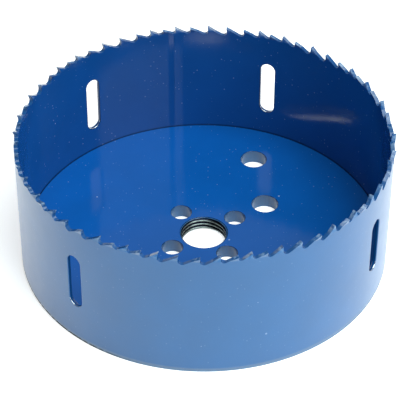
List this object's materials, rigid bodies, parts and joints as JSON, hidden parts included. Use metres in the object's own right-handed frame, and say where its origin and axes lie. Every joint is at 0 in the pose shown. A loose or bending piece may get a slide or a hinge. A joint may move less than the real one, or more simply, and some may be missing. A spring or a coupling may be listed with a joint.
{
  "type": "hole saw",
  "caption": "Large painted hole saw: a cup of rolled strip with a toothed, set rim and slotted wall, closed by a thick drilled and tapped back plate.",
  "frame": {"origin": "centre of the back plate's outer face, on which the saw stands", "axes": "+Z along the saw's axis from the back plate to the teeth; +X and +Y across it, with the wall's butt seam 100 degrees anticlockwise from +X seen from the teeth"},
  "size_m": [0.1206, 0.1206, 0.0459],
  "materials": {
    "wall_paint": "gloss blue enamel over steel strip",
    "plate_paint": "gloss blue enamel over steel plate, bare steel thread"
  },
  "bodies": {
    "root": {"toothed_wall": "wall_paint", "back_plate": "plate_paint"}
  },
  "joints": []
}
